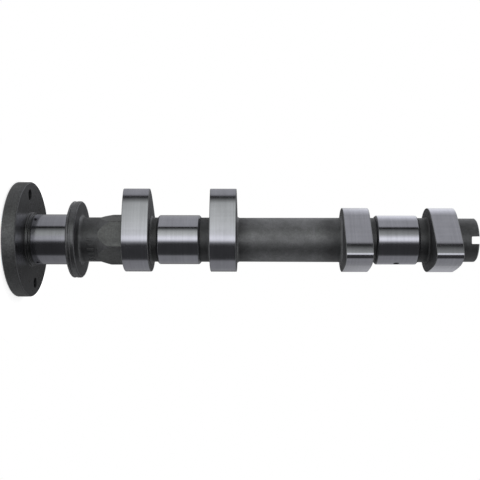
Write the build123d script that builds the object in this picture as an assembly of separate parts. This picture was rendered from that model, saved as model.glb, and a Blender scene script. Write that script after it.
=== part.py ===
from build123d import *
import math
import os

# Overhead camshaft for one bank of two cylinders: a single iron casting with
# its drive flange, thrust collar, spanner hexagon, two bearing journals and four
# cam lobes, turned, ground and drilled where it runs or is driven.
#
# Frame: the shaft stands on its drive flange. The origin is the centre of the
# flange's mounting face, and +Z runs along the shaft to the slotted end.
# Lengths are millimetres. Angles are degrees about +Z, counted from +X.

# Drive flange, which carries the timing wheel on its lower face
FLANGE_DIAMETER = 56.0
FLANGE_THICKNESS = 6.6
FLANGE_CHAMFER = 0.4
BOLT_HOLE_DIAMETER = 5.0
BOLT_HOLE_COUNT = 2
BOLT_HOLE_ANGLE = 175.0
BOLT_EDGE_DISTANCE = 6.0        # from the flange's rim to a bolt hole's centre
BOSS_STEP = 0.95                # how far the boss stands out round the seal journal
BOSS_THICKNESS = 1.1
RELIEF_DEPTH = 0.3              # of the grinding relief, below the seal journal
RELIEF_WIDTH = 1.1

# Seal journal, and the thrust collar above it with a groove in its rim
SEAL_JOURNAL_DIAMETER = 24.5
SEAL_JOURNAL_LENGTH = 18.0
COLLAR_HEIGHT = 6.45            # how far the collar stands out of the seal journal
LOWER_LIP_THICKNESS = 1.1
COLLAR_GROOVE_WIDTH = 1.1
COLLAR_GROOVE_DEPTH = 0.6
UPPER_LIP_THICKNESS = 2.15
LIP_CHAMFER = 0.5

# Spanner hexagon, cut from a turned blank with a conical run-out
HEXAGON_ACROSS_FLATS = 21.8
HEXAGON_CORNER_DIAMETER = 25.0
HEXAGON_LENGTH = 6.6
HEXAGON_RUN_OUT = 5.5
HEXAGON_FLAT_ANGLE = 0.0

# Cam lobes, which all share one outline
LOBE_WIDTH = 12.7
BASE_RADIUS = 15.65
LIFT = 9.9
NOSE_RADIUS = 3.0
NOSE_SWEEP = 70.0
SHOULDER_RADIUS = 19.0          # between the nose and a flank
FLANK_RADIUS = 120.0
LOWER_NOSE_ANGLE = 180.0        # both lobes of the cylinder next to the flange
UPPER_NOSE_ANGLE = 270.0        # both lobes of the cylinder next to the slotted end

# Bearing journals, one between the two lobes of each cylinder
JOURNAL_DIAMETER = 24.0
JOURNAL_LENGTH = 20.8
JOURNAL_CHAMFER = 0.8
OIL_HOLE_DIAMETER = 2.5
OIL_HOLE_ANGLE = 325.0

# As-cast lengths of shaft between the machined features
CAST_DIAMETER = 21.7
CAST_FILLET = 1.6
CAST_FOOT = 1.1                 # of the coned foot between a lobe and its short neck
COLLAR_NECK_LENGTH = 9.15
LOWER_NECK_LENGTH = 3.3         # from a cylinder's first lobe to its journal
UPPER_NECK_LENGTH = 4.8         # from the journal to the cylinder's second lobe
LONG_SHAFT_LENGTH = 51.1        # between the two cylinders
LONG_SHAFT_THINNING = 0.2       # in diameter, next to the lower cylinder

# Slotted end, which drives an auxiliary shaft
STUB_DIAMETER = 21.3
STUB_LENGTH = 10.9
STUB_CHAMFER = 0.5
SLOT_WIDTH = 3.6
SLOT_DEPTH = 3.9
SLOT_CORNER_RADIUS = 0.5
SLOT_ANGLE = 73.0

# Turning centres in both ends
CENTRE_DIAMETER = 6.0
CENTRE_CONE_ANGLE = 60.0
CENTRE_PILOT_DIAMETER = 2.5
CENTRE_PILOT_DEPTH = 2.0

# Stations along +Z, each where the named feature begins
boss_start = FLANGE_THICKNESS
relief_start = boss_start + BOSS_THICKNESS
seal_journal_start = relief_start + RELIEF_WIDTH
collar_start = seal_journal_start + SEAL_JOURNAL_LENGTH
collar_groove_start = collar_start + LOWER_LIP_THICKNESS
upper_lip_start = collar_groove_start + COLLAR_GROOVE_WIDTH
collar_neck_start = upper_lip_start + UPPER_LIP_THICKNESS
run_out_start = collar_neck_start + COLLAR_NECK_LENGTH
hexagon_start = run_out_start + HEXAGON_RUN_OUT
lower_cylinder_start = hexagon_start + HEXAGON_LENGTH
cylinder_length = 2 * LOBE_WIDTH + LOWER_NECK_LENGTH + JOURNAL_LENGTH + UPPER_NECK_LENGTH
long_shaft_start = lower_cylinder_start + cylinder_length
upper_cylinder_start = long_shaft_start + LONG_SHAFT_LENGTH
stub_start = upper_cylinder_start + cylinder_length
shaft_end = stub_start + STUB_LENGTH


def revolved(profile):
    """Turn a closed profile, drawn as (radius, height), about the shaft's axis."""
    return revolve(Plane.XZ * make_face(profile), Axis.Z)


def turned(start, length, diameter, start_chamfer=0.0, end_chamfer=0.0):
    """A plain length of shaft, chamfered at either end."""
    radius = diameter / 2
    end = start + length
    corners = [(0, start), (radius - start_chamfer, start)]
    if start_chamfer > 0:
        corners.append((radius, start + start_chamfer))
    if end_chamfer > 0:
        corners.append((radius, end - end_chamfer))
    corners += [(radius - end_chamfer, end), (0, end)]
    return revolved(Polyline(*corners, close=True))


def tapered(start, length, start_diameter, end_diameter):
    """A conical length of shaft."""
    end = start + length
    corners = [(0, start), (start_diameter / 2, start), (end_diameter / 2, end), (0, end)]
    return revolved(Polyline(*corners, close=True))


def foot_fillet(wall, diameter, radius, side):
    """A ring that rounds the corner between a wall and the shaft on its +Z or -Z side."""
    shaft_radius = diameter / 2
    inside = shaft_radius - radius
    centre = (shaft_radius + radius, wall + side * radius)
    first_angle = 180 if side > 0 else 90
    corner = [
        CenterArc(centre, radius, first_angle, 90),
        Polyline((centre[0], wall), (inside, wall), (inside, centre[1]), (shaft_radius, centre[1])),
    ]
    return revolved(corner)


def drive_flange():
    """The drilled flange, with the boss and the grinding relief above it."""
    flange = turned(0, FLANGE_THICKNESS, FLANGE_DIAMETER, FLANGE_CHAMFER, FLANGE_CHAMFER)
    bolt_circle_radius = FLANGE_DIAMETER / 2 - BOLT_EDGE_DISTANCE
    for place in PolarLocations(bolt_circle_radius, BOLT_HOLE_COUNT, BOLT_HOLE_ANGLE):
        flange -= place * Cylinder(BOLT_HOLE_DIAMETER / 2, 3 * FLANGE_THICKNESS)
    boss_diameter = SEAL_JOURNAL_DIAMETER + 2 * BOSS_STEP
    flange += turned(boss_start, BOSS_THICKNESS, boss_diameter)
    flange += turned(relief_start, RELIEF_WIDTH, SEAL_JOURNAL_DIAMETER - 2 * RELIEF_DEPTH)
    return flange


def thrust_collar():
    """The collar: two lips with chamfered outer edges, and the groove between them."""
    lip_diameter = SEAL_JOURNAL_DIAMETER + 2 * COLLAR_HEIGHT
    groove_diameter = lip_diameter - 2 * COLLAR_GROOVE_DEPTH
    collar = turned(collar_start, LOWER_LIP_THICKNESS, lip_diameter, start_chamfer=LIP_CHAMFER)
    collar += turned(collar_groove_start, COLLAR_GROOVE_WIDTH, groove_diameter)
    collar += turned(upper_lip_start, UPPER_LIP_THICKNESS, lip_diameter, end_chamfer=LIP_CHAMFER)
    return collar


def spanner_hexagon():
    """The hexagon and its run-out: a turned blank cut by a hexagonal prism."""
    blank = tapered(run_out_start, HEXAGON_RUN_OUT, CAST_DIAMETER, HEXAGON_CORNER_DIAMETER)
    blank += turned(hexagon_start, HEXAGON_LENGTH, HEXAGON_CORNER_DIAMETER)
    flats = RegularPolygon(HEXAGON_ACROSS_FLATS / 2, 6, major_radius=False, rotation=HEXAGON_FLAT_ANGLE)
    prism = extrude(flats, HEXAGON_RUN_OUT + HEXAGON_LENGTH)
    return blank & Pos(0, 0, run_out_start) * prism


def lobe_outline():
    """The cam's outline with its nose along +X, made of arcs that run smoothly into each other.

    On each side a shoulder leaves the nose where its sweep ends, and a flank touches
    both the shoulder and the base circle.
    """
    nose_x = BASE_RADIUS + LIFT - NOSE_RADIUS
    nose_edge = NOSE_SWEEP / 2
    shoulder_x = nose_x - (SHOULDER_RADIUS - NOSE_RADIUS) * math.cos(math.radians(nose_edge))
    shoulder_y = -(SHOULDER_RADIUS - NOSE_RADIUS) * math.sin(math.radians(nose_edge))
    shoulder_distance = math.hypot(shoulder_x, shoulder_y)
    flank_distance = FLANK_RADIUS - BASE_RADIUS
    flank_to_shoulder = FLANK_RADIUS - SHOULDER_RADIUS
    cosine = flank_distance**2 + shoulder_distance**2 - flank_to_shoulder**2
    cosine /= 2 * flank_distance * shoulder_distance
    flank_bearing = math.atan2(shoulder_y, shoulder_x) - math.acos(cosine)
    flank_x = flank_distance * math.cos(flank_bearing)
    flank_y = flank_distance * math.sin(flank_bearing)
    base_edge = math.degrees(flank_bearing) + 180
    shoulder_edge = math.degrees(math.atan2(shoulder_y - flank_y, shoulder_x - flank_x))
    shoulder_sweep = shoulder_edge - nose_edge
    flank_sweep = base_edge - shoulder_edge
    shoulder = CenterArc((shoulder_x, shoulder_y), SHOULDER_RADIUS, nose_edge, shoulder_sweep)
    flank = CenterArc((flank_x, flank_y), FLANK_RADIUS, shoulder_edge, flank_sweep)
    return make_face([
        CenterArc((nose_x, 0), NOSE_RADIUS, -nose_edge, NOSE_SWEEP),
        shoulder,
        flank,
        CenterArc((0, 0), BASE_RADIUS, base_edge, 360 - 2 * base_edge),
        mirror(flank, about=Plane.XZ),
        mirror(shoulder, about=Plane.XZ),
    ])


def cam_lobe(start, nose_angle):
    """One lobe, with its lower side at the start station."""
    return Pos(0, 0, start) * Rot(0, 0, nose_angle) * extrude(lobe_outline(), LOBE_WIDTH)


def cylinder_group(start, nose_angle):
    """The two lobes of one cylinder, with the bearing journal between them."""
    lower_neck = start + LOBE_WIDTH
    journal = lower_neck + LOWER_NECK_LENGTH
    upper_neck = journal + JOURNAL_LENGTH
    second_lobe = upper_neck + UPPER_NECK_LENGTH
    group = cam_lobe(start, nose_angle) + cam_lobe(second_lobe, nose_angle)
    group += turned(lower_neck, second_lobe - lower_neck, CAST_DIAMETER)
    foot_diameter = CAST_DIAMETER + 2 * CAST_FOOT
    group += tapered(lower_neck, CAST_FOOT, foot_diameter, CAST_DIAMETER)
    group += tapered(second_lobe - CAST_FOOT, CAST_FOOT, CAST_DIAMETER, foot_diameter)
    group += turned(journal, JOURNAL_LENGTH, JOURNAL_DIAMETER, JOURNAL_CHAMFER, JOURNAL_CHAMFER)
    return group


def long_shaft():
    """The cast shaft between the two cylinders, a little thinner at its lower end."""
    lower_diameter = CAST_DIAMETER - LONG_SHAFT_THINNING
    shaft = tapered(long_shaft_start, LONG_SHAFT_LENGTH, lower_diameter, CAST_DIAMETER)
    shaft += foot_fillet(long_shaft_start, lower_diameter, CAST_FILLET, 1)
    shaft += foot_fillet(upper_cylinder_start, CAST_DIAMETER, CAST_FILLET, -1)
    return shaft


def drive_slot():
    """The cutter that mills the slot across the end, with its lower corners rounded."""
    cutter = Box(2 * STUB_DIAMETER, SLOT_WIDTH, 2 * SLOT_DEPTH)
    lower_edges = cutter.edges().filter_by(Axis.X).group_by(Axis.Z)[0]
    cutter = fillet(lower_edges, min(SLOT_CORNER_RADIUS, 0.45 * SLOT_WIDTH))
    return Pos(0, 0, shaft_end) * Rot(0, 0, SLOT_ANGLE) * cutter


def turning_centre():
    """The cutter for a centre hole in a face at z = 0, with the metal below it."""
    cone_depth = (CENTRE_DIAMETER - CENTRE_PILOT_DIAMETER) / 2
    cone_depth /= math.tan(math.radians(CENTRE_CONE_ANGLE / 2))
    cone = tapered(-cone_depth, cone_depth, CENTRE_PILOT_DIAMETER, CENTRE_DIAMETER)
    pilot_end = cone_depth + CENTRE_PILOT_DEPTH
    return cone + turned(-pilot_end, pilot_end, CENTRE_PILOT_DIAMETER)


def oil_drilling():
    """The cutter for the cross-drilling through the middle of the upper journal."""
    journal_start = upper_cylinder_start + LOBE_WIDTH + LOWER_NECK_LENGTH
    middle = journal_start + JOURNAL_LENGTH / 2
    drill = Rot(0, 90, 0) * Cylinder(OIL_HOLE_DIAMETER / 2, 2 * JOURNAL_DIAMETER)
    return Pos(0, 0, middle) * Rot(0, 0, OIL_HOLE_ANGLE) * drill


def camshaft():
    """The finished shaft."""
    shaft = drive_flange()
    shaft += turned(seal_journal_start, SEAL_JOURNAL_LENGTH, SEAL_JOURNAL_DIAMETER)
    shaft += thrust_collar()
    shaft += foot_fillet(collar_neck_start, CAST_DIAMETER, CAST_FILLET, 1)
    shaft += turned(collar_neck_start, COLLAR_NECK_LENGTH, CAST_DIAMETER)
    shaft += spanner_hexagon()
    shaft += cylinder_group(lower_cylinder_start, LOWER_NOSE_ANGLE)
    shaft += long_shaft()
    shaft += cylinder_group(upper_cylinder_start, UPPER_NOSE_ANGLE)
    shaft += turned(stub_start, STUB_LENGTH, STUB_DIAMETER, end_chamfer=STUB_CHAMFER)
    shaft -= drive_slot()
    shaft -= Pos(0, 0, shaft_end) * turning_centre()
    shaft -= Rot(180, 0, 0) * turning_centre()
    shaft -= oil_drilling()
    return shaft.solid()


os.makedirs("parts", exist_ok=True)
export_step(camshaft(), "parts/camshaft.step")
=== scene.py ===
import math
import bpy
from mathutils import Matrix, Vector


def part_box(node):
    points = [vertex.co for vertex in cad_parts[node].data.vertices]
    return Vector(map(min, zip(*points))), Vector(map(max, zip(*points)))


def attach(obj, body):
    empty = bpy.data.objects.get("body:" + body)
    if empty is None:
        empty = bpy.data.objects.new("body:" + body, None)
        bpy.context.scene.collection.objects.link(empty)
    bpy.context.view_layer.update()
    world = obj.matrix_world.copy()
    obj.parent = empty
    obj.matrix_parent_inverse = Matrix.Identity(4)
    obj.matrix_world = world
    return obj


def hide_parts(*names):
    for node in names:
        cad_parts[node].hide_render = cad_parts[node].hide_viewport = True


bl_info = {
    "name": "Overhead camshaft",
    "version": (1, 0, 0),
    "blender": (4, 5, 0),
    "location": "3D View > Sidebar > Camshaft",
    "description": "Models a four-lobe overhead camshaft, its finishes and the studio round it",
    "category": "Add Mesh",
}

import bpy
from bpy.props import FloatProperty, FloatVectorProperty, IntProperty, PointerProperty
from mathutils import Matrix, Vector

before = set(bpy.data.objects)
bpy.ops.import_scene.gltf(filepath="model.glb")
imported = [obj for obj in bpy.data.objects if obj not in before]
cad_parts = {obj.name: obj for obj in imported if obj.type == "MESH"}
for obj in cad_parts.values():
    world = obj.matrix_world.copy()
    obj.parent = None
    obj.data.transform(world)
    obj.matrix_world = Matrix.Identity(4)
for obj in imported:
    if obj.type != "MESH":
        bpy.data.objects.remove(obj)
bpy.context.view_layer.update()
shaft_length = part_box("camshaft")[1][2]


# Sizes and colours


def size(name, description, default):
    """A length in metres that a user may change."""
    return FloatProperty(
        name=name, description=description, default=default, min=0.00001, unit="LENGTH", precision=5
    )


def turn(name, description, degrees):
    """An angle about the shaft, counted from +X."""
    return FloatProperty(
        name=name, description=description, default=math.radians(degrees), unit="ROTATION"
    )


def share(name, description, default, highest=1.0):
    """A plain factor."""
    return FloatProperty(name=name, description=description, default=default, min=0.0, max=highest)


def tint(name, description, default):
    """A colour."""
    return FloatVectorProperty(
        name=name, description=description, default=default, subtype="COLOR", min=0.0, max=1.0
    )


class CamshaftSizes(bpy.types.PropertyGroup):
    """Lengths, diameters and angles of the shaft's features."""

    facets: IntProperty(
        name="Facets", description="Sides of each turned surface", default=240, min=48, max=512
    )
    edge_ease: size("Edge ease", "Rounding of the turned edges", 0.00018)
    flange_diameter: size("Flange diameter", "Outside diameter of the drive flange", 0.056)
    flange_thickness: size("Flange thickness", "Thickness of the drive flange", 0.0066)
    flange_chamfer: size("Flange chamfer", "Chamfer of the flange's rim", 0.0004)
    bolt_hole_diameter: size("Bolt hole diameter", "Diameter of the two bolt holes", 0.005)
    bolt_hole_flare: size("Bolt hole flare", "Countersink of the bolt holes", 0.00025)
    bolt_circle_diameter: size("Bolt circle diameter", "Circle that the bolt holes lie on", 0.044)
    bolt_hole_angle: turn("Bolt hole angle", "Direction of the first bolt hole", 175)
    boss_step: size("Boss step", "How far the boss stands out of the seal journal", 0.00095)
    boss_thickness: size("Boss thickness", "Thickness of the boss on the flange", 0.0011)
    relief_width: size("Relief width", "Width of the relief below the seal journal", 0.0011)
    relief_depth: size("Relief depth", "Depth of the relief below the seal journal", 0.0003)
    seal_journal_diameter: size("Seal journal diameter", "Ground diameter by the flange", 0.0245)
    seal_journal_length: size("Seal journal length", "Length of the seal journal", 0.018)
    seal_journal_edge: size("Seal journal edge", "Edge break of the seal journal", 0.0002)
    collar_diameter: size("Collar diameter", "Outside diameter of the thrust collar", 0.0374)
    lower_lip_thickness: size("Lower lip", "Thickness of the collar's lower lip", 0.0011)
    groove_width: size("Groove width", "Width of the groove in the collar's rim", 0.0011)
    groove_depth: size("Groove depth", "Depth of the groove in the collar's rim", 0.0006)
    upper_lip_thickness: size("Upper lip", "Thickness of the collar's upper lip", 0.00215)
    groove_slope: size("Groove slope", "Run of the groove's side walls", 0.0002)
    lip_chamfer: size("Lip chamfer", "Chamfer of the collar's lips", 0.0005)
    collar_neck_length: size("Collar neck length", "Cast length above the collar", 0.00915)
    hexagon_across_flats: size("Hexagon across flats", "Spanner size of the hexagon", 0.0218)
    hexagon_corner_diameter: size("Hexagon corners", "Turned diameter of its corners", 0.025)
    hexagon_length: size("Hexagon length", "Length of the full hexagon", 0.0066)
    hexagon_run_out: size("Hexagon run-out", "Length of its conical run-out", 0.0055)
    lobe_width: size("Lobe width", "Width of each cam lobe", 0.0127)
    base_radius: size("Base radius", "Radius of the cam's base circle", 0.01565)
    lift: size("Lift", "How far the nose stands out of the base circle", 0.0099)
    nose_radius: size("Nose radius", "Radius of the cam's nose", 0.003)
    nose_sweep: turn("Nose sweep", "Angle that the nose's round covers", 70)
    shoulder_radius: size("Shoulder radius", "Radius between the nose and a flank", 0.019)
    flank_radius: size("Flank radius", "Radius of the cam's flanks", 0.12)
    lobe_edge: size("Lobe edge", "Width of the lobes' broken edges", 0.00028)
    lower_nose_angle: turn("Lower nose angle", "Direction of the lower pair's noses", 180)
    upper_nose_angle: turn("Upper nose angle", "Direction of the upper pair's noses", 270)
    journal_diameter: size("Journal diameter", "Ground diameter of the bearing journals", 0.024)
    journal_length: size("Journal length", "Length of each bearing journal", 0.0208)
    journal_chamfer: size("Journal chamfer", "Chamfer at both ends of a journal", 0.0008)
    journal_edge_ease: size("Journal edge ease", "Rounding of the journals' edges", 0.00035)
    oil_hole_diameter: size("Oil hole diameter", "Diameter of the cross-drilling", 0.0025)
    oil_hole_flare: size("Oil hole flare", "Countersink of the cross-drilling", 0.0002)
    oil_hole_angle: turn("Oil hole angle", "Direction of the cross-drilling", 325)
    cast_diameter: size("Cast diameter", "Diameter of the as-cast shaft", 0.0217)
    cast_thinning: size("Cast thinning", "Taper of the long cast length, in diameter", 0.0002)
    cast_fillet: size("Cast fillet", "Radius of the fillets on the cast shaft", 0.0016)
    cast_foot: size("Cast foot", "Size of the feet between lobes and short necks", 0.0011)
    lower_neck_length: size("Lower neck length", "From a pair's first lobe to its journal", 0.0033)
    upper_neck_length: size("Upper neck length", "From a journal to its second lobe", 0.0048)
    long_shaft_length: size("Long shaft length", "Cast length between the two pairs", 0.0511)
    stub_diameter: size("Stub diameter", "Diameter of the slotted end", 0.0213)
    stub_chamfer: size("Stub chamfer", "Chamfer of the slotted end", 0.0005)
    slot_width: size("Slot width", "Width of the drive slot", 0.0036)
    slot_depth: size("Slot depth", "Depth of the drive slot", 0.0039)
    slot_corner: size("Slot corner", "Radius of the slot's lower corners", 0.0005)
    slot_angle: turn("Slot angle", "Direction of the drive slot", 73)
    centre_diameter: size("Centre diameter", "Mouth of the turning centres", 0.006)
    pilot_diameter: size("Pilot diameter", "Pilot hole of the turning centres", 0.0025)
    pilot_depth: size("Pilot depth", "Depth of the pilot below its cone", 0.002)
    pip_count: IntProperty(name="Pips", description="Casting pips on the neck", default=6, min=1)
    pip_length: size("Pip length", "Length of a casting pip along the shaft", 0.0034)
    pip_width: size("Pip width", "Width of a casting pip round the shaft", 0.0012)
    pip_height: size("Pip height", "How far the casting pips stand out", 0.00035)
    pip_from_hexagon: size("Pip place", "From the pips' middle to the hexagon's cone", 0.0034)
    pip_first_angle: turn("First pip", "Bearing of the first casting pip", 254)
    pip_spacing: turn("Pip spacing", "Angle between the casting pips", 12.5)


class CamshaftFinishes(bpy.types.PropertyGroup):
    """Colours and gloss of the shaft's surfaces."""

    ground_colour: tint("Ground steel", "Ground journals", (0.40, 0.404, 0.452))
    ground_roughness: share("Ground roughness", "Roughness of the ground journals", 0.12)
    lobe_colour: tint("Ground lobes", "Running surface of the lobes", (0.41, 0.414, 0.462))
    lobe_roughness: share("Lobe roughness", "Roughness of the lobes' running surface", 0.15)
    # Hexagon corners: partly the real turned corners, partly a painted highlight that keeps the
    # narrow corner strips from reading as dark lines
    land_highlight_colour: tint("Hexagon corners", "Turned corners of the hexagon", (0.30, 0.304, 0.308))
    cast_colour: tint("Cast iron", "As-cast skin", (0.218, 0.222, 0.231))
    cast_roughness: share("Cast roughness", "Roughness of the as-cast skin", 0.53)
    turned_colour: tint("Turned iron", "Turned and phosphated faces", (0.165, 0.168, 0.177))
    turned_roughness: share("Turned roughness", "Roughness of the turned faces", 0.35)
    flange_colour: tint("Blackened flange", "Turned faces of the flange", (0.116, 0.118, 0.123))
    flange_rim_colour: tint("Flange rim", "Blasted rim of the flange", (0.146, 0.149, 0.153))
    lobe_side_colour: tint("Lobe sides", "Turned sides of the lobes", (0.190, 0.193, 0.203))
    milled_colour: tint("Milled flats", "Flats of the spanner hexagon", (0.164, 0.168, 0.170))
    worn_colour: tint("Worn edge", "Edges that have rubbed bright", (0.17, 0.172, 0.178))
    dull_colour: tint("Dull edge", "Edges left dark by the coating", (0.095, 0.097, 0.101))
    # Inside of the holes: painted shade, much darker than the metal round them
    bore_shade_colour: tint("Drilled bore", "Inside of the holes", (0.055, 0.056, 0.058))


class CamshaftStudio(bpy.types.PropertyGroup):
    """The camera, the light and the floor."""

    camera_distance: size("Camera distance", "From the shaft's axis to the camera", 0.3839)
    camera_height: size("Camera height", "Height of the camera along the shaft", 0.1191)
    camera_turn: turn("Camera turn", "How far the camera stands round from -Y", 16.85)
    camera_roll: turn("Camera roll", "Small tilt of the shaft in the picture", 0.118)
    lens: FloatProperty(
        name="Lens", description="Focal length of the camera", default=58.725, unit="CAMERA"
    )
    shift_x: FloatProperty(
        name="Shift along", description="Picture's shift along the shaft", default=-0.04625
    )
    shift_y: FloatProperty(
        name="Shift across", description="Picture's shift across the shaft", default=-0.0004
    )
    wall_radius: size("Wall radius", "Distance of the lit studio wall", 0.85)
    wall_level: share("Wall level", "Brightness of the lit studio wall", 1.0, 4.0)
    fill_level: share("Fill level", "Brightness of the room as plain fill light", 0.55, 4.0)
    floor_radius: size("Floor radius", "Radius of the pale floor", 0.05)


def stations(sizes):
    """Heights along the shaft at which the named features begin."""
    at = {}
    height = 0.0
    for name, length in (
        ("flange", sizes.flange_thickness),
        ("boss", sizes.boss_thickness),
        ("relief", sizes.relief_width),
        ("seal_journal", sizes.seal_journal_length),
        ("collar", sizes.lower_lip_thickness),
        ("groove", sizes.groove_width),
        ("upper_lip", sizes.upper_lip_thickness),
        ("collar_neck", sizes.collar_neck_length),
        ("run_out", sizes.hexagon_run_out),
        ("hexagon", sizes.hexagon_length),
        ("lobe_1", sizes.lobe_width),
        ("neck_1", sizes.lower_neck_length),
        ("journal_1", sizes.journal_length),
        ("neck_2", sizes.upper_neck_length),
        ("lobe_2", sizes.lobe_width),
        ("long_shaft", sizes.long_shaft_length),
        ("lobe_3", sizes.lobe_width),
        ("neck_3", sizes.lower_neck_length),
        ("journal_2", sizes.journal_length),
        ("neck_4", sizes.upper_neck_length),
        ("lobe_4", sizes.lobe_width),
    ):
        at[name] = height
        height += length
    at["stub"] = height
    at["end"] = shaft_length
    return at


# Modelling

OUTWARD = 0.2  # a face looks outwards when its normal's part along the shaft is below this,
ENDWARD = 0.95  # and along the shaft when it is above this
NEAR = 0.0002  # how close to a turned surface a face of it has its middle
NEARLY_STRAIGHT = math.radians(170)
EASE_STEPS = 3
EASE_SHARE = 0.45  # rounding takes at most this share of a side
ARC_STEPS = 6
SMOOTH_BELOW = 40.0  # degrees between two faces that are shaded as one surface
OVERLAP = 0.0005  # how far a piece runs on inside its neighbour
CENTRE_HALF_ANGLE = math.radians(30)
DRILL_SIDES = 64
DRILL_PAST = 0.002  # how far a drill reaches past the faces that it cuts
PIP_ROUNDING = 0.8  # share of a casting pip's height
LOBE_START = 0.001  # size of the plane that is merged to a lobe's first point
LOBE_MERGE = 0.00001
BASE_STEPS = 130
FLANK_STEPS = 30
SHOULDER_STEPS = 30
NOSE_STEPS = 48


def pick(piece):
    """Make one object the only one selected, and the active one."""
    bpy.ops.object.select_all(action="DESELECT")
    piece.select_set(True)
    bpy.context.view_layer.objects.active = piece


def apply_place(piece):
    """Move a piece's place and turn into its mesh."""
    pick(piece)
    bpy.ops.object.transform_apply(location=True, rotation=True, scale=True)


def apply_modifier(piece, kind, **settings):
    """Add one modifier to a piece and apply it."""
    pick(piece)
    bpy.ops.object.modifier_add(type=kind)
    modifier = piece.modifiers[-1]
    for setting, value in settings.items():
        setattr(modifier, setting, value)
    bpy.ops.object.modifier_apply(modifier=modifier.name)


def direction(bearing):
    """Unit vector at right angles to the shaft, at a bearing from +X."""
    return Vector((math.cos(bearing), math.sin(bearing), 0))


def eased(outline, ease):
    """An outline whose inner corners are rounded over a short length."""
    points = [Vector(point) for point in outline]
    soft = [points[0]]
    for before, corner, after in zip(points, points[1:], points[2:]):
        into = before - corner
        out = after - corner
        if into.angle(out) > NEARLY_STRAIGHT:
            soft.append(corner)
            continue
        start = corner + into.normalized() * min(ease, EASE_SHARE * into.length)
        end = corner + out.normalized() * min(ease, EASE_SHARE * out.length)
        for step in range(EASE_STEPS + 1):
            along = step / EASE_STEPS
            soft.append(
                start * (1 - along) ** 2 + corner * 2 * along * (1 - along) + end * along**2
            )
    soft.append(points[-1])
    return soft


def corner_arc(wall, radius, fillet, side):
    """Stations of the round between a wall and the shaft that leaves it towards +1 or -1."""
    arc = []
    for step in range(ARC_STEPS + 1):
        sweep = math.radians(90 * step / ARC_STEPS)
        height = wall + side * fillet * (1 - math.cos(sweep))
        arc.append((height, radius + fillet * (1 - math.sin(sweep))))
    return arc if side > 0 else arc[::-1]


def close_mesh():
    """Turn the faces of the mesh being edited outwards, and leave edit mode."""
    bpy.ops.mesh.select_all(action="SELECT")
    bpy.ops.mesh.normals_make_consistent(inside=False)
    bpy.ops.object.mode_set(mode="OBJECT")


def turned_piece(name, outline, facets):
    """Turn an outline of (height, radius) stations into a closed piece, ring by ring."""
    bpy.ops.object.select_all(action="DESELECT")
    height, radius = outline[0]
    bpy.ops.mesh.primitive_circle_add(
        vertices=facets, radius=radius, fill_type="NGON", location=(0, 0, height)
    )
    piece = bpy.context.object
    piece.name = name
    piece.data.name = name
    apply_place(piece)
    bpy.ops.object.mode_set(mode="EDIT")
    bpy.ops.mesh.select_all(action="SELECT")
    for next_height, next_radius in outline[1:]:
        growth = next_radius / radius
        bpy.ops.mesh.extrude_region_move(
            TRANSFORM_OT_translate={"value": (0, 0, next_height - height)}
        )
        bpy.ops.transform.resize(value=(growth, growth, 1), center_override=(0, 0, next_height))
        height, radius = next_height, next_radius
    close_mesh()
    return piece


def cut_away(piece, cutter):
    """Cut one closed piece by another, which is used up."""
    apply_modifier(
        piece,
        "BOOLEAN",
        operation="DIFFERENCE",
        solver="EXACT",
        material_mode="TRANSFER",
        object=cutter,
    )
    bpy.data.objects.remove(cutter, do_unlink=True)


def drill(name, diameter, length, flare, middle, towards=None):
    """A cutter for a round hole with a small countersink at both ends."""
    radius = diameter / 2
    half = length / 2
    outline = [
        (-half - DRILL_PAST, radius + flare + DRILL_PAST),
        (-half + flare, radius),
        (half - flare, radius),
        (half + DRILL_PAST, radius + flare + DRILL_PAST),
    ]
    cutter = turned_piece(name, outline, DRILL_SIDES)
    if towards is not None:
        cutter.rotation_mode = "QUATERNION"
        cutter.rotation_quaternion = Vector((0, 0, 1)).rotation_difference(towards)
    cutter.location = middle
    apply_place(cutter)
    return cutter


def coat(piece, finishes, *names):
    """Give a piece its finishes, the first of them all over."""
    for name in names:
        piece.data.materials.append(finishes[name])


def finish_piece(piece, choose=None, smooth_angle=SMOOTH_BELOW):
    """Lay a coated piece's finishes, then give it smooth shading and a body."""
    if choose is not None:
        names = [material.name for material in piece.data.materials]
        for face in piece.data.polygons:
            name = choose(face.center, face.normal, names[face.material_index])
            face.material_index = names.index(name)
    pick(piece)
    bpy.ops.object.shade_smooth_by_angle(angle=math.radians(smooth_angle))
    apply_modifier(piece, "WEIGHTED_NORMAL", keep_sharp=True)
    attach(piece, "root")
    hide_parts("camshaft")


def radius_of(point):
    """Distance of a point from the shaft's axis."""
    return math.hypot(point[0], point[1])


def workshop(context):
    """The sizes, the finishes and the stations that every piece is made from."""
    sizes = context.scene.camshaft_sizes
    return sizes, material_set(context.scene.camshaft_finishes), stations(sizes)


def turning_centre(sizes):
    """Radius of a turning centre's pilot hole, and depth of its cone."""
    pilot = sizes.pilot_diameter / 2
    return pilot, (sizes.centre_diameter / 2 - pilot) / math.tan(CENTRE_HALF_ANGLE)


# Materials

# Painted shade on the as-cast skin, by height in metres: darker towards both ends of the shaft,
# where less light reaches, and darkest at the feet beside the lobes; the long middle keeps its full
# tone
SKIN_PAINTED_SHADE = (
    (0.031, 0.54), (0.052, 0.64), (0.066, 0.42), (0.1065, 0.47), (0.115, 1.0), (0.144, 1.0),
    (0.151, 0.64), (0.158, 0.54), (0.170, 0.44), (0.1965, 0.44), (0.1985, 0.28), (0.200, 0.28),
    (0.212, 0.52), (0.223, 0.58),
)
SKIN_SHADE_TOP = 0.25
MARK_DRIFT = 0.002  # how far the tool marks drift in half a turn round the axis


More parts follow.
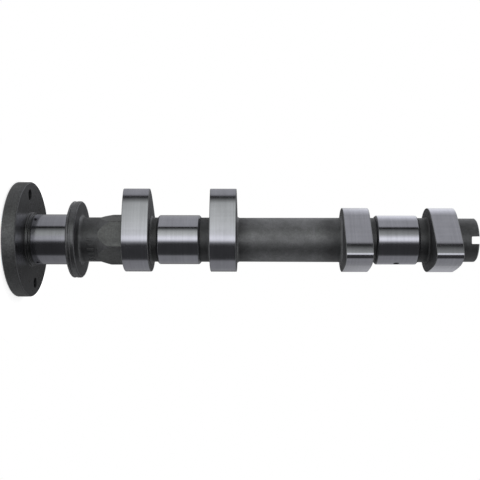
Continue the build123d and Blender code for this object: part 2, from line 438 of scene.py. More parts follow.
class Nodes:
    """Short ways to add and join the nodes of one material or world."""

    def __init__(self, owner, output="ShaderNodeOutputMaterial"):
        owner.use_nodes = True
        self.tree = owner.node_tree
        self.tree.nodes.clear()
        self.output = self.add(output)

    def add(self, kind, inputs=None, **settings):
        """Add a node, each of whose inputs takes a plain value or another node's output."""
        node = self.tree.nodes.new(kind)
        for setting, value in settings.items():
            setattr(node, setting, value)
        for socket, value in (inputs or {}).items():
            if isinstance(value, bpy.types.NodeSocket):
                self.tree.links.new(value, node.inputs[socket])
            else:
                node.inputs[socket].default_value = value
        return node

    def show(self, shader):
        """Join a shader to the output."""
        self.tree.links.new(shader, self.output.inputs["Surface"])

    def place(self):
        return self.add("ShaderNodeTexCoord").outputs["Object"]

    def axes(self, place):
        return self.add("ShaderNodeSeparateXYZ", {"Vector": place}).outputs

    def mapped(self, place, **change):
        return self.add("ShaderNodeMapping", {"Vector": place, **change}).outputs["Vector"]

    def noise(self, place, scale, detail, roughness, distortion=0.0):
        inputs = {"Vector": place, "Scale": scale, "Detail": detail}
        inputs |= {"Roughness": roughness, "Distortion": distortion}
        return self.add("ShaderNodeTexNoise", inputs).outputs["Fac"]

    def spread(self, value, low, high, from_low=0.3, from_high=0.7, **settings):
        """A value between two ends, laid out between two others."""
        inputs = {"Value": value, "From Min": from_low, "From Max": from_high}
        inputs |= {"To Min": low, "To Max": high}
        return self.add("ShaderNodeMapRange", inputs, **settings).outputs["Result"]

    def math(self, operation, first, second=0.0, **settings):
        inputs = {0: first, 1: second}
        return self.add("ShaderNodeMath", inputs, operation=operation, **settings).outputs[0]

    def product(self, first, *others):
        for other in others:
            first = self.math("MULTIPLY", first, other)
        return first

    def vectors(self, operation, first, second):
        inputs = {0: first, 1: second}
        return self.add("ShaderNodeVectorMath", inputs, operation=operation).outputs["Vector"]

    def ramp(self, value, stops, colour=(1.0, 1.0, 1.0)):
        """A colour whose brightness is read from (position, level) stops."""
        node = self.add("ShaderNodeValToRGB", {"Fac": value})
        elements = node.color_ramp.elements
        elements.remove(elements[1])
        elements[0].position = stops[0][0]
        for number, (position, level) in enumerate(stops):
            element = elements[0] if number == 0 else elements.new(position)
            element.color = (*(level * part for part in colour), 1)
        return node.outputs["Color"]

    def around(self, place):
        """Distance from the axis, height, and a drift without a seam, as one vector in metres."""
        x, y, z = self.axes(place)
        squares = self.math("ADD", self.math("MULTIPLY", x, x), self.math("MULTIPLY", y, y))
        bearing = self.math("COSINE", self.math("ARCTAN2", y, x))
        inputs = {"X": self.math("SQRT", squares), "Y": z}
        inputs["Z"] = self.math("MULTIPLY", bearing, MARK_DRIFT)
        return self.add("ShaderNodeCombineXYZ", inputs).outputs["Vector"]

    def bump(self, height, strength, distance, below=None):
        inputs = {"Height": height, "Strength": strength, "Distance": distance}
        if below is not None:
            inputs["Normal"] = below
        return self.add("ShaderNodeBump", inputs).outputs["Normal"]

    def mix(self, factor, first, second):
        return self.add("ShaderNodeMixShader", {0: factor, 1: first, 2: second}).outputs[0]

    def white_factor(self):
        """1 for what the camera sees directly, in metal or through glass."""
        path = self.add("ShaderNodeLightPath")
        total = path.outputs["Is Camera Ray"]
        for name in ("Is Glossy Ray", "Is Transmission Ray"):
            total = self.math("ADD", total, path.outputs[name], use_clamp=True)
        return total

    def metal(self, colour, tone, roughness, normal):
        """A metal whose colour is varied by a tone."""
        inputs = {"Factor": 1.0, "A": (*colour, 1.0), "B": tone}
        shade = self.add("ShaderNodeMix", data_type="RGBA", blend_type="MULTIPLY", inputs=inputs)
        inputs = {"Metallic": 1.0, "Base Color": shade.outputs["Result"]}
        inputs |= {"Roughness": roughness, "Normal": normal}
        self.show(self.add("ShaderNodeBsdfPrincipled", inputs).outputs[0])


def ground_steel(material, colour, roughness):
    """Ground surface: bright, with fine grinding lines round the shaft."""
    nodes = Nodes(material)
    place = nodes.place()
    lines = nodes.mapped(place, Scale=(40, 40, 5200))
    fine = nodes.noise(lines, scale=1.0, detail=3.0, roughness=0.6)
    bands = nodes.mapped(place, Scale=(25, 25, 1100))
    broad = nodes.noise(bands, scale=1.0, detail=2.0, roughness=0.5)
    ripples = nodes.mapped(place, Scale=(700, 700, 6))
    chatter = nodes.noise(ripples, scale=1.0, detail=1.0, roughness=0.4)
    film = nodes.noise(place, scale=140.0, detail=3.0, roughness=0.55)
    tone = nodes.product(
        nodes.spread(fine, 0.95, 1.05),
        nodes.spread(broad, 0.95, 1.04),
        nodes.spread(chatter, 0.97, 1.03),
        nodes.spread(film, 0.95, 1.04),
    )
    wear = nodes.spread(fine, 0.9 * roughness, 1.15 * roughness)
    gloss = nodes.math("ADD", wear, nodes.spread(film, -0.015, 0.02))
    nodes.metal(colour, tone, gloss, nodes.bump(fine, strength=0.12, distance=0.00001))


def cast_iron(material, colour, roughness):
    """As-cast skin: dark, mottled and finely pitted, with painted shade by height."""
    nodes = Nodes(material)
    place = nodes.place()
    patches = nodes.noise(place, scale=95.0, detail=3.0, roughness=0.6, distortion=0.4)
    mottle = nodes.noise(place, scale=420.0, detail=3.0, roughness=0.6)
    grain = nodes.noise(place, scale=2400.0, detail=2.0, roughness=0.6)
    pits = nodes.add("ShaderNodeTexVoronoi", {"Vector": place, "Scale": 1500.0})
    # Painted shade: the skin's tone is darkened by height along the shaft, read from the ramp of
    # painted shade
    height = nodes.math("DIVIDE", nodes.axes(place)["Z"], SKIN_SHADE_TOP)
    tone = nodes.product(
        nodes.spread(patches, 0.87, 1.12),
        nodes.spread(mottle, 0.88, 1.12),
        nodes.spread(grain, 0.85, 1.15),
        nodes.spread(pits.outputs["Distance"], 0.86, 1.04, 0.0, 0.5),
        nodes.ramp(height, [(stop / SKIN_SHADE_TOP, level) for stop, level in SKIN_PAINTED_SHADE]),
    )
    wear = nodes.spread(patches, roughness + 0.05, roughness - 0.05)
    gloss = nodes.math("ADD", wear, nodes.spread(grain, -0.05, 0.05))
    relief = nodes.bump(mottle, strength=0.35, distance=0.00012)
    relief = nodes.bump(grain, strength=0.45, distance=0.00006, below=relief)
    nodes.metal(colour, tone, gloss, relief)


def turned_iron(material, colour, roughness, grit=1.0, mark_depth=0.000005):
    """Turned and phosphated face: dark, with tool marks round the axis and a fine grain."""
    nodes = Nodes(material)
    place = nodes.place()
    rings = nodes.mapped(nodes.around(place), Scale=(3600, 3600, 200))
    marks = nodes.noise(rings, scale=1.0, detail=2.0, roughness=0.5)
    cloud = nodes.noise(place, scale=160.0, detail=3.0, roughness=0.6)
    grain = nodes.noise(place, scale=3000.0, detail=2.0, roughness=0.65)
    speckle = nodes.noise(place, scale=1300.0, detail=2.0, roughness=0.6)
    tone = nodes.product(
        nodes.spread(marks, 0.92, 1.08),
        nodes.spread(cloud, 0.86, 1.12),
        nodes.spread(grain, 1 - 0.14 * grit, 1 + 0.14 * grit),
        nodes.spread(speckle, 1 - 0.16 * grit, 1 + 0.16 * grit),
    )
    coating = nodes.spread(cloud, roughness + 0.05, roughness - 0.05)
    gloss = nodes.math("ADD", coating, nodes.spread(grain, -0.04, 0.04))
    relief = nodes.bump(marks, strength=1.0, distance=mark_depth)
    relief = nodes.bump(grain, strength=0.35, distance=0.00003, below=relief)
    nodes.metal(colour, tone, gloss, relief)


def material_set(finishes):
    """The finishes of the shaft, made once and then shared by its pieces."""
    turned_roughness = finishes.turned_roughness
    made = {}
    for name, make, *look in (
        ("ground_steel", ground_steel, finishes.ground_colour, finishes.ground_roughness),
        ("ground_lobe", ground_steel, finishes.lobe_colour, finishes.lobe_roughness),
        ("cast_iron_skin", cast_iron, finishes.cast_colour, finishes.cast_roughness),
        ("turned_iron", turned_iron, finishes.turned_colour, turned_roughness),
        ("lobe_side", turned_iron, finishes.lobe_side_colour, turned_roughness),
        ("blackened_flange", turned_iron, finishes.flange_colour, 0.30, 1.0, 0.00004),
        ("flange_rim", turned_iron, finishes.flange_rim_colour, 0.50, 1.3),
        # turned corner lands, lightened as a painted highlight
        ("hexagon_land", turned_iron, finishes.land_highlight_colour, 0.50),
        ("milled_flat", turned_iron, finishes.milled_colour, 0.54),
        ("worn_edge", turned_iron, finishes.worn_colour, 0.36),
        ("dull_edge", turned_iron, finishes.dull_colour, 0.50),
        # painted shade inside the drilled holes
        ("drilled_bore", turned_iron, finishes.bore_shade_colour, 0.60),
    ):
        made[name] = bpy.data.materials.get(name)
        if made[name] is None:
            made[name] = bpy.data.materials.new(name)
            make(made[name], *look)
    return made


# The shaft's pieces


class CAMSHAFT_OT_drive_flange(bpy.types.Operator):
    """Add the drilled drive flange with its boss, relief and turning centre"""

    bl_idname = "camshaft.add_drive_flange"
    bl_label = "Drive flange"
    bl_options = {"REGISTER", "UNDO"}

    def execute(self, context):
        sizes, finishes, at = workshop(context)
        rim = sizes.flange_diameter / 2
        chamfer = sizes.flange_chamfer
        pilot, cone_depth = turning_centre(sizes)
        boss = sizes.seal_journal_diameter / 2 + sizes.boss_step
        relief = sizes.seal_journal_diameter / 2 - sizes.relief_depth
        outline = [
            (cone_depth + sizes.pilot_depth, pilot),
            (cone_depth, pilot),
            (0, sizes.centre_diameter / 2),
            (0, rim - chamfer),
            (chamfer, rim),
            (at["boss"] - chamfer, rim),
            (at["boss"], rim - chamfer),
            (at["boss"], boss),
            (at["relief"], boss),
            (at["relief"], relief),
            (at["seal_journal"] + 2 * OVERLAP, relief),
        ]
        flange = turned_piece("drive_flange", eased(outline, sizes.edge_ease), sizes.facets)
        coat(flange, finishes, "blackened_flange", "flange_rim", "dull_edge")
        for half_turn in (0, math.pi):
            middle = sizes.bolt_circle_diameter / 2 * direction(sizes.bolt_hole_angle + half_turn)
            middle.z = sizes.flange_thickness / 2
            cutter = drill(
                "bolt_drill",
                sizes.bolt_hole_diameter,
                sizes.flange_thickness,
                sizes.bolt_hole_flare,
                middle,
            )
            coat(cutter, finishes, "drilled_bore")
            cut_away(flange, cutter)

        def choose(centre, normal, finish):
            if finish == "drilled_bore":
                return finish
            if OUTWARD < normal[2] < ENDWARD:
                return "dull_edge"
            outside = radius_of(centre) > rim - NEAR and abs(normal[2]) < OUTWARD
            return "flange_rim" if outside else "blackened_flange"

        finish_piece(flange, choose)
        return {"FINISHED"}


class CAMSHAFT_OT_seal_journal(bpy.types.Operator):
    """Add the ground journal that the front seal runs on"""

    bl_idname = "camshaft.add_seal_journal"
    bl_label = "Seal journal"
    bl_options = {"REGISTER", "UNDO"}

    def execute(self, context):
        sizes, finishes, at = workshop(context)
        radius = sizes.seal_journal_diameter / 2
        edge = sizes.seal_journal_edge
        outline = [
            (at["seal_journal"], radius - 3 * OVERLAP),
            (at["seal_journal"], radius - edge),
            (at["seal_journal"] + edge, radius),
            (at["collar"] + OVERLAP, radius),
        ]
        journal = turned_piece("seal_journal", eased(outline, 0.75 * edge), sizes.facets)
        coat(journal, finishes, "ground_steel")
        finish_piece(journal)
        return {"FINISHED"}


class CAMSHAFT_OT_thrust_collar(bpy.types.Operator):
    """Add the thrust collar with the groove in its rim"""

    bl_idname = "camshaft.add_thrust_collar"
    bl_label = "Thrust collar"
    bl_options = {"REGISTER", "UNDO"}

    def execute(self, context):
        sizes, finishes, at = workshop(context)
        rim = sizes.collar_diameter / 2
        groove = rim - sizes.groove_depth
        lip = sizes.lip_chamfer
        slope = sizes.groove_slope
        outline = [
            (at["collar"], sizes.seal_journal_diameter / 2 - 2 * OVERLAP),
            (at["collar"], rim - lip),
            (at["collar"] + lip, rim),
            (at["groove"], rim),
            (at["groove"] + slope, groove),
            (at["upper_lip"] - slope, groove),
            (at["upper_lip"], rim),
            (at["collar_neck"] - lip, rim),
            (at["collar_neck"], rim - lip),
            (at["collar_neck"], sizes.cast_diameter / 2 - 2 * OVERLAP),
        ]
        collar = turned_piece("thrust_collar", eased(outline, sizes.edge_ease), sizes.facets)
        coat(collar, finishes, "turned_iron", "worn_edge", "dull_edge")

        def choose(centre, normal, finish):
            outside = radius_of(centre) > rim - lip
            if outside and OUTWARD < abs(normal[2]) < ENDWARD:
                return "worn_edge" if centre[2] < at["upper_lip"] + lip else "dull_edge"
            return finish

        finish_piece(collar, choose)
        return {"FINISHED"}


class CAMSHAFT_OT_cast_shaft(bpy.types.Operator):
    """Add the as-cast shaft that joins the machined features, with its fillets"""

    bl_idname = "camshaft.add_cast_shaft"
    bl_label = "Cast shaft"
    bl_options = {"REGISTER", "UNDO"}

    def execute(self, context):
        sizes, finishes, at = workshop(context)
        cast = sizes.cast_diameter / 2
        thin = cast - sizes.cast_thinning / 2
        hidden = cast - 2 * OVERLAP
        foot = sizes.cast_foot
        fillet = sizes.cast_fillet
        outline = [(at["collar_neck"] - OVERLAP, cast + fillet)]
        outline += corner_arc(at["collar_neck"], cast, fillet, 1)
        outline += [(at["run_out"], cast), (at["run_out"] + OVERLAP, hidden)]
        for first, journal, second in (
            ("neck_1", "journal_1", "lobe_2"),
            ("neck_3", "journal_2", "lobe_4"),
        ):
            wall = at[first]
            outline += [(wall - 2 * OVERLAP, hidden), (wall - OVERLAP, cast + foot)]
            outline += corner_arc(wall, cast, foot, 1)
            outline += [(at[journal], cast), (at[journal] + OVERLAP, hidden)]
            wall = at[second]
            neck = wall - sizes.upper_neck_length
            outline += [(neck - OVERLAP, hidden), (neck, cast)]
            outline += corner_arc(wall, cast, foot, -1)
            outline += [(wall + OVERLAP, cast + foot), (wall + 2 * OVERLAP, hidden)]
            if second == "lobe_2":
                outline += [(at["long_shaft"] - 2 * OVERLAP, hidden)]
                outline += [(at["long_shaft"] - OVERLAP, thin + fillet)]
                outline += corner_arc(at["long_shaft"], thin, fillet, 1)
                outline += corner_arc(at["lobe_3"], cast, fillet, -1)
                outline += [(at["lobe_3"] + OVERLAP, cast + fillet)]
                outline += [(at["lobe_3"] + 2 * OVERLAP, hidden)]
        shaft = turned_piece("cast_shaft", outline, sizes.facets)
        coat(shaft, finishes, "cast_iron_skin")
        finish_piece(shaft)
        return {"FINISHED"}


class CAMSHAFT_OT_casting_pips(bpy.types.Operator):
    """Add the row of plain raised pips that the mould leaves on the neck"""

    bl_idname = "camshaft.add_casting_pips"
    bl_label = "Casting pips"
    bl_options = {"REGISTER", "UNDO"}

    def execute(self, context):
        sizes, finishes, at = workshop(context)
        middle = at["run_out"] - sizes.pip_from_hexagon
        pips = []
        for number in range(sizes.pip_count):
            bearing = sizes.pip_first_angle + number * sizes.pip_spacing
            bpy.ops.object.select_all(action="DESELECT")
            bpy.ops.mesh.primitive_cube_add(size=1)
            pip = bpy.context.object
            pip.scale = (2 * sizes.pip_height, sizes.pip_width, sizes.pip_length)
            pip.rotation_euler = (0, 0, bearing)
            pip.location = direction(bearing) * sizes.cast_diameter / 2
            pip.location.z = middle
            apply_place(pip)
            apply_modifier(pip, "BEVEL", width=PIP_ROUNDING * sizes.pip_height, segments=4)
            pips.append(pip)
        bpy.ops.object.select_all(action="DESELECT")
        for pip in pips:
            pip.select_set(True)
        context.view_layer.objects.active = pips[0]
        bpy.ops.object.join()
        pips[0].name = "casting_pips"
        pips[0].data.name = "casting_pips"
        coat(pips[0], finishes, "cast_iron_skin")
        finish_piece(pips[0])
        return {"FINISHED"}


class CAMSHAFT_OT_spanner_hexagon(bpy.types.Operator):
    """Add the spanner hexagon, cut from a turned blank with a conical run-out"""

    bl_idname = "camshaft.add_spanner_hexagon"
    bl_label = "Spanner hexagon"
    bl_options = {"REGISTER", "UNDO"}

    def execute(self, context):
        sizes, finishes, at = workshop(context)
        corner = sizes.hexagon_corner_diameter / 2
        outline = [
            (at["run_out"], sizes.cast_diameter / 2),
            (at["hexagon"], corner),
            (at["lobe_1"] + OVERLAP, corner),
        ]
        hexagon = turned_piece("spanner_hexagon", outline, sizes.facets)
        bpy.ops.object.mode_set(mode="EDIT")
        for side in range(6):
            outward = direction(math.radians(60 * side))
            bpy.ops.mesh.select_all(action="SELECT")
            bpy.ops.mesh.bisect(
                plane_co=outward * sizes.hexagon_across_flats / 2,
                plane_no=outward,
                use_fill=True,
                clear_outer=True,
            )
        close_mesh()
        coat(hexagon, finishes, "cast_iron_skin", "milled_flat", "hexagon_land")

        def choose(centre, normal, finish):
            if abs(normal[2]) > OUTWARD:
                return finish
            return "hexagon_land" if radius_of(centre) > corner - NEAR else "milled_flat"

        finish_piece(hexagon, choose, smooth_angle=0.0)
        return {"FINISHED"}


class CAMSHAFT_OT_cam_lobes(bpy.types.Operator):
    """Add the four cam lobes: one is modelled and the others are its copies"""

    bl_idname = "camshaft.add_cam_lobes"
    bl_label = "Cam lobes"
    bl_options = {"REGISTER", "UNDO"}

    def execute(self, context):
        sizes, finishes, at = workshop(context)
        base = sizes.base_radius
        nose_edge = sizes.nose_sweep / 2
        nose = Vector((base + sizes.lift - sizes.nose_radius, 0, 0))
        shoulder = nose - (sizes.shoulder_radius - sizes.nose_radius) * direction(nose_edge)
        flank_distance = sizes.flank_radius - base
        flank_to_shoulder = sizes.flank_radius - sizes.shoulder_radius
        cosine = flank_distance**2 + shoulder.length**2 - flank_to_shoulder**2
        cosine /= 2 * flank_distance * shoulder.length
        bearing = math.atan2(shoulder.y, shoulder.x) - math.acos(cosine)
        flank = flank_distance * direction(bearing)
        base_edge = bearing + math.pi
        shoulder_edge = math.atan2(shoulder.y - flank.y, shoulder.x - flank.x)

        bpy.ops.object.select_all(action="DESELECT")
        start = base * direction(base_edge)
        bpy.ops.mesh.primitive_plane_add(size=LOBE_START, location=start)
        lobe = bpy.context.object
        apply_place(lobe)
        bpy.ops.object.mode_set(mode="EDIT")
        bpy.ops.mesh.select_mode(type="VERT")
        bpy.ops.mesh.select_all(action="SELECT")
        bpy.ops.mesh.merge(type="CENTER")
        mirrored = Vector((1, -1, 1))
        for centre, sweep, steps in (
            (Vector((0, 0, 0)), 2 * math.pi - 2 * base_edge, BASE_STEPS),
            (flank * mirrored, base_edge - shoulder_edge, FLANK_STEPS),
            (shoulder * mirrored, shoulder_edge - nose_edge, SHOULDER_STEPS),
            (nose, sizes.nose_sweep, NOSE_STEPS),
            (shoulder, shoulder_edge - nose_edge, SHOULDER_STEPS),
            (flank, base_edge - shoulder_edge, FLANK_STEPS),
        ):
            bpy.ops.mesh.spin(steps=steps, angle=-sweep, center=centre, axis=(0, 0, 1))
        bpy.ops.mesh.select_all(action="SELECT")
        bpy.ops.mesh.remove_doubles(threshold=LOBE_MERGE)
        bpy.ops.mesh.select_all(action="SELECT")
        bpy.ops.mesh.edge_face_add()
        bpy.ops.mesh.extrude_region_move(
            TRANSFORM_OT_translate={"value": (0, 0, sizes.lobe_width)}
        )
        close_mesh()
        apply_modifier(
            lobe,
            "BEVEL",
            width=sizes.lobe_edge,
            segments=3,
            limit_method="ANGLE",
            angle_limit=math.radians(30),
        )
        coat(lobe, finishes, "ground_lobe", "lobe_side", "worn_edge")

        def choose(centre, normal, finish):
            if abs(normal[2]) > ENDWARD:
                return "lobe_side"
            return "worn_edge" if abs(normal[2]) > OUTWARD else finish

        lower, upper = sizes.lower_nose_angle, sizes.upper_nose_angle
        for number, nose_angle in enumerate((lower, lower, upper, upper), start=1):
            pick(lobe)
            bpy.ops.object.duplicate()
            copy = bpy.context.object
            copy.name = f"cam_lobe_{number}"
            copy.data.name = copy.name
            copy.rotation_euler = (0, 0, nose_angle)
            copy.location = (0, 0, at[f"lobe_{number}"])
            apply_place(copy)
            finish_piece(copy, choose)
        bpy.data.objects.remove(lobe, do_unlink=True)
        return {"FINISHED"}


class CAMSHAFT_OT_bearing_journals(bpy.types.Operator):
    """Add the two ground bearing journals and drill the upper one for oil"""

    bl_idname = "camshaft.add_bearing_journals"
    bl_label = "Bearing journals"
    bl_options = {"REGISTER", "UNDO"}

    def execute(self, context):
        sizes, finishes, at = workshop(context)
        radius = sizes.journal_diameter / 2
        chamfer = sizes.journal_chamfer
        inside = sizes.cast_diameter / 2 - OVERLAP
        for name, start in (("lower_journal", at["journal_1"]), ("upper_journal", at["journal_2"])):
            end = start + sizes.journal_length
            outline = [
                (start, inside),
                (start, radius - chamfer),
                (start + chamfer, radius),
                (end - chamfer, radius),
                (end, radius - chamfer),
                (end, inside),
            ]
            journal = turned_piece(name, eased(outline, sizes.journal_edge_ease), sizes.facets)
            coat(journal, finishes, "ground_steel", "turned_iron")
            if name == "upper_journal":
                cutter = drill(
                    "oil_drill",
                    sizes.oil_hole_diameter,
                    sizes.journal_diameter,
                    sizes.oil_hole_flare,
                    Vector((0, 0, (start + end) / 2)),
                    direction(sizes.oil_hole_angle),
                )
                coat(cutter, finishes, "drilled_bore")
                cut_away(journal, cutter)

            def choose(centre, normal, finish):
                running = abs(normal[2]) < OUTWARD and radius_of(centre) > radius - NEAR
                return finish if running or finish == "drilled_bore" else "turned_iron"

            finish_piece(journal, choose)
        return {"FINISHED"}


class CAMSHAFT_OT_slotted_end(bpy.types.Operator):
    """Add the slotted end with its turning centre"""

    bl_idname = "camshaft.add_slotted_end"
    bl_label = "Slotted end"
    bl_options = {"REGISTER", "UNDO"}

    def execute(self, context):
        sizes, finishes, at = workshop(context)
        radius = sizes.stub_diameter / 2
        chamfer = sizes.stub_chamfer
        pilot, cone_depth = turning_centre(sizes)
        outline = [
            (at["stub"] - OVERLAP, radius),
            (at["end"] - chamfer, radius),
            (at["end"], radius - chamfer),
            (at["end"], sizes.centre_diameter / 2),
            (at["end"] - cone_depth, pilot),
            (at["end"] - cone_depth - sizes.pilot_depth, pilot),
        ]
        stub = turned_piece("slotted_end", eased(outline, sizes.edge_ease), sizes.facets)
        coat(stub, finishes, "cast_iron_skin", "turned_iron")

        bpy.ops.object.select_all(action="DESELECT")
        bpy.ops.mesh.primitive_cube_add(size=1)
        cutter = bpy.context.object
        cutter.dimensions = (2 * sizes.stub_diameter, sizes.slot_width, 2 * sizes.slot_depth)
        cutter.location = (0, 0, at["end"])
        cutter.rotation_euler = (0, 0, sizes.slot_angle)
        apply_place(cutter)
        apply_modifier(cutter, "BEVEL", width=sizes.slot_corner, segments=5)
        coat(cutter, finishes, "turned_iron")
        cut_away(stub, cutter)

        def choose(centre, normal, finish):
            return "turned_iron" if centre[2] > at["end"] - chamfer / 2 else finish

        finish_piece(stub, choose)
        return {"FINISHED"}


# Studio

# The lit wall is a sum of strips. Each has its brightness by bearing, in degrees from the camera
# and upwards in the picture, its share of that brightness by height in metres, and its colour.
PLAIN = (1.0, 1.0, 1.0)
WALL_STRIPS = {
    "surround": (
        (
            (-180, 0.08), (-168, 0.08), (-156, 0.20), (-144, 0.38), (-100, 0.38), (-82, 0.36),
            (-75, 0.09), (-66, 0.06), (-20, 0.06), (-12, 0.0), (54, 0.0), (55, 0.02), (61, 0.02),
            (63.5, 0.50), (70, 0.56), (145, 0.56), (162, 0.30), (169, 0.08), (180, 0.08),
        ),
        ((-0.30, 0.62), (-0.20, 0.78), (-0.10, 1.0)),
        PLAIN,
    ),
    "lamp": (
        (
            (-20, 0.0), (-16, 0.08), (-11, 0.30), (-7, 0.72), (-3, 1.30), (2, 1.58), (9, 1.54),
            (13, 1.21), (18, 0.745), (22, 0.36), (27, 0.13), (36, 0.12), (44, 0.10), (50, 0.04),
            (55, 0.0),
        ),
        ((-0.30, 0.36), (-0.18, 0.42), (-0.10, 1.0), (0.45, 1.0), (0.65, 0.35)),
        PLAIN,
    ),
    "shoulder": (
        (
            (9, 0.0), (13, 0.18), (18, 0.49), (22, 0.77), (27, 0.86), (30, 0.81), (34.5, 0.71),
            (40, 0.55), (44, 0.40), (50, 0.20), (53, 0.10), (55, 0.0),
        ),
        (
            (-0.30, 0.60), (-0.18, 0.65), (-0.10, 1.0), (0.10, 1.0), (0.30, 0.46), (0.42, 0.46),
            (0.58, 0.0),
        ),
        (0.97, 1.0, 0.91),
    ),
    "behind": (
        (
            (-175, 0.0), (-168, 0.38), (-156, 0.38), (-143, 0.03), (-100, 0.0), (100, 0.0),
            (135, 0.74), (166, 0.74), (176, 0.0),
        ),
        ((0.16, 0.0), (0.30, 1.0), (0.75, 1.0), (0.90, 0.0)),
        (0.94, 0.95, 1.0),
    ),
    "low fill": (((-180, 0.75), (180, 0.75)), ((-0.62, 1.0), (-0.42, 0.0)), PLAIN),
    "high fill": (((-180, 0.55), (180, 0.55)), ((0.85, 0.0), (1.00, 1.0)), PLAIN),
}
WALL_BRIGHTEST = 1.6
WALL_FOOT = -1.5
WALL_TOP = 1.5
ROUND_SIDES = 128
FLOOR_GAP = 0.0002  # how far the floor lies below the flange
FLOOR_COLOUR = (0.7, 0.7, 0.7, 1)
FLOOR_LIFT = 0.68  # light that the floor adds near the shaft, so that its shadow stays soft
FADE_FROM = 0.5  # shares of the floor's radius between which it turns plain white
FADE_TO = 0.98


class CAMSHAFT_OT_studio(bpy.types.Operator):
    """Add the camera, the lit studio wall, the white room and the pale floor"""

    bl_idname = "camshaft.add_studio"
    bl_label = "Studio"
    bl_options = {"REGISTER", "UNDO"}

    def execute(self, context):
        studio = context.scene.camshaft_studio
        self.add_camera(context, studio)
        self.light_room(context, studio)
        self.add_wall(context, studio)
        self.add_floor(context, studio)
        context.scene.view_settings.view_transform = "Standard"
        return {"FINISHED"}

    def add_camera(self, context, studio):
        """The camera lies on its side, square to the shaft, so that the shaft runs across."""
        forward = Vector((math.sin(studio.camera_turn), math.cos(studio.camera_turn), 0))
        up = Vector((-forward.y, forward.x, 0))
        right = Vector((0, 0, 1))
        turned = Matrix((right, up, -forward)).transposed()
        turned = turned @ Matrix.Rotation(studio.camera_roll, 3, "Z")
        bpy.ops.object.select_all(action="DESELECT")
        bpy.ops.object.camera_add(
            location=-forward * studio.camera_distance + right * studio.camera_height,
            rotation=turned.to_euler(),
        )
        camera = bpy.context.object
        camera.name = "camera"
        camera.data.sensor_width = 36
        camera.data.lens = studio.lens
        camera.data.shift_x = studio.shift_x
        camera.data.shift_y = studio.shift_y
        camera.data.clip_start = 0.01
        context.scene.camera = camera

    def light_room(self, context, studio):
        """White to look at, and a soft fill light for the rest."""
        world = bpy.data.worlds.new("white_room")
        context.scene.world = world
        nodes = Nodes(world, "ShaderNodeOutputWorld")
        seen = []
        for level in (studio.fill_level, 1.0):
            light = nodes.add("ShaderNodeBackground", {"Color": (1, 1, 1, 1), "Strength": level})
            seen.append(light.outputs[0])
        nodes.show(nodes.mix(nodes.white_factor(), *seen))

    def add_wall(self, context, studio):
        """A round wall of soft light with dark gaps, seen only in the shaft's metal."""
        bpy.ops.object.select_all(action="DESELECT")
        bpy.ops.mesh.primitive_cylinder_add(
            vertices=ROUND_SIDES,
            radius=studio.wall_radius,
            depth=WALL_TOP - WALL_FOOT,
            end_fill_type="NOTHING",
            location=(0, 0, (WALL_TOP + WALL_FOOT) / 2),
        )
        wall = bpy.context.object
        wall.name = "studio_wall"
        apply_place(wall)
        wall.visible_camera = False
        wall.visible_shadow = False
        wall.data.materials.append(self.wall_material(studio))

    def wall_material(self, studio):
        """The strips of light, laid out from the camera's bearing."""
        material = bpy.data.materials.new("studio_wall")
        nodes = Nodes(material)
        place = nodes.place()
        turned = nodes.mapped(place, Rotation=(0, 0, studio.camera_turn - math.radians(270)))
        round_wall = nodes.add("ShaderNodeTexGradient", {"Vector": turned}, gradient_type="RADIAL")
        bearing = round_wall.outputs["Fac"]
        height = nodes.spread(nodes.axes(place)["Z"], 0.0, 1.0, WALL_FOOT, WALL_TOP)
        total = None
        for bearings, heights, colour in WALL_STRIPS.values():
            across = sorted((0.5 - angle / 360, level / WALL_BRIGHTEST) for angle, level in bearings)
            upward = [((z - WALL_FOOT) / (WALL_TOP - WALL_FOOT), level) for z, level in heights]
            strip = nodes.vectors(
                "MULTIPLY", nodes.ramp(bearing, across, colour), nodes.ramp(height, upward)
            )
            total = strip if total is None else nodes.vectors("ADD", total, strip)
        strength = WALL_BRIGHTEST * studio.wall_level
        glow = nodes.add("ShaderNodeEmission", {"Color": total, "Strength": strength})
        nodes.show(glow.outputs[0])
        return material

    def add_floor(self, context, studio):
        """A pale round floor that shows white and keeps the shaft's soft shadow."""
        bpy.ops.object.select_all(action="DESELECT")
        bpy.ops.mesh.primitive_circle_add(
            vertices=ROUND_SIDES,
            radius=studio.floor_radius,
            fill_type="NGON",
            location=(0, 0, -FLOOR_GAP),
        )
        floor = bpy.context.object
        floor.name = "floor"
        floor.visible_glossy = False
        apply_place(floor)
        material = bpy.data.materials.new("pale_floor")
        floor.data.materials.append(material)
        nodes = Nodes(material)
        distance = nodes.add("ShaderNodeVectorMath", {0: nodes.place()}, operation="LENGTH")
        fade = nodes.spread(
            distance.outputs["Value"],
            FLOOR_LIFT,
            1.0,
            FADE_FROM * studio.floor_radius,
            FADE_TO * studio.floor_radius,
            interpolation_type="SMOOTHSTEP",
        )
        pale = nodes.add("ShaderNodeBsdfDiffuse", {"Color": FLOOR_COLOUR}).outputs[0]
        lift = nodes.add("ShaderNodeEmission", {"Strength": fade}).outputs[0]
        both = nodes.add("ShaderNodeAddShader", {0: pale, 1: lift}).outputs[0]
        nodes.show(nodes.mix(nodes.white_factor(), pale, both))


# Panel and registration

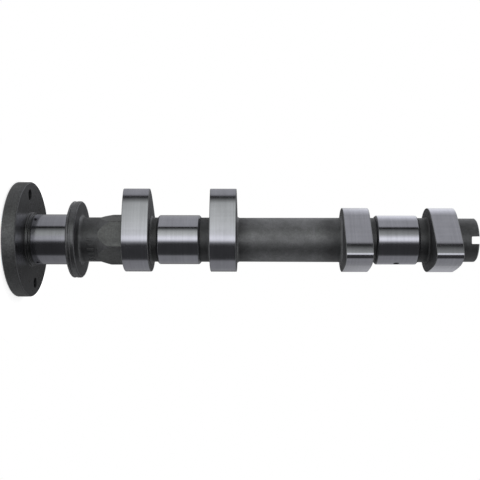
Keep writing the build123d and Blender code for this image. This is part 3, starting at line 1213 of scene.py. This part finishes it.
PIECES = (
    CAMSHAFT_OT_drive_flange,
    CAMSHAFT_OT_seal_journal,
    CAMSHAFT_OT_thrust_collar,
    CAMSHAFT_OT_cast_shaft,
    CAMSHAFT_OT_casting_pips,
    CAMSHAFT_OT_spanner_hexagon,
    CAMSHAFT_OT_cam_lobes,
    CAMSHAFT_OT_bearing_journals,
    CAMSHAFT_OT_slotted_end,
    CAMSHAFT_OT_studio,
)


class CAMSHAFT_PT_sidebar(bpy.types.Panel):
    """Lists the camshaft's pieces, sizes and finishes"""

    bl_label = "Camshaft"
    bl_idname = "CAMSHAFT_PT_sidebar"
    bl_space_type = "VIEW_3D"
    bl_region_type = "UI"
    bl_category = "Camshaft"

    def draw(self, context):
        column = self.layout.column(align=True)
        for piece in PIECES:
            column.operator(piece.bl_idname)
        for title, group in (
            ("Sizes", context.scene.camshaft_sizes),
            ("Finishes", context.scene.camshaft_finishes),
            ("Studio", context.scene.camshaft_studio),
        ):
            box = self.layout.box()
            box.label(text=title)
            for name in group.__annotations__:
                box.prop(group, name)


CLASSES = (CamshaftSizes, CamshaftFinishes, CamshaftStudio, *PIECES, CAMSHAFT_PT_sidebar)


def register():
    for item in CLASSES:
        bpy.utils.register_class(item)
    bpy.types.Scene.camshaft_sizes = PointerProperty(type=CamshaftSizes)
    bpy.types.Scene.camshaft_finishes = PointerProperty(type=CamshaftFinishes)
    bpy.types.Scene.camshaft_studio = PointerProperty(type=CamshaftStudio)


def unregister():
    del bpy.types.Scene.camshaft_studio
    del bpy.types.Scene.camshaft_finishes
    del bpy.types.Scene.camshaft_sizes
    for item in reversed(CLASSES):
        bpy.utils.unregister_class(item)


def main():
    register()
    bpy.ops.camshaft.add_drive_flange()
    bpy.ops.camshaft.add_seal_journal()
    bpy.ops.camshaft.add_thrust_collar()
    bpy.ops.camshaft.add_cast_shaft()
    bpy.ops.camshaft.add_casting_pips()
    bpy.ops.camshaft.add_spanner_hexagon()
    bpy.ops.camshaft.add_cam_lobes()
    bpy.ops.camshaft.add_bearing_journals()
    bpy.ops.camshaft.add_slotted_end()
    bpy.ops.camshaft.add_studio()


if __name__ == "__main__":
    main()
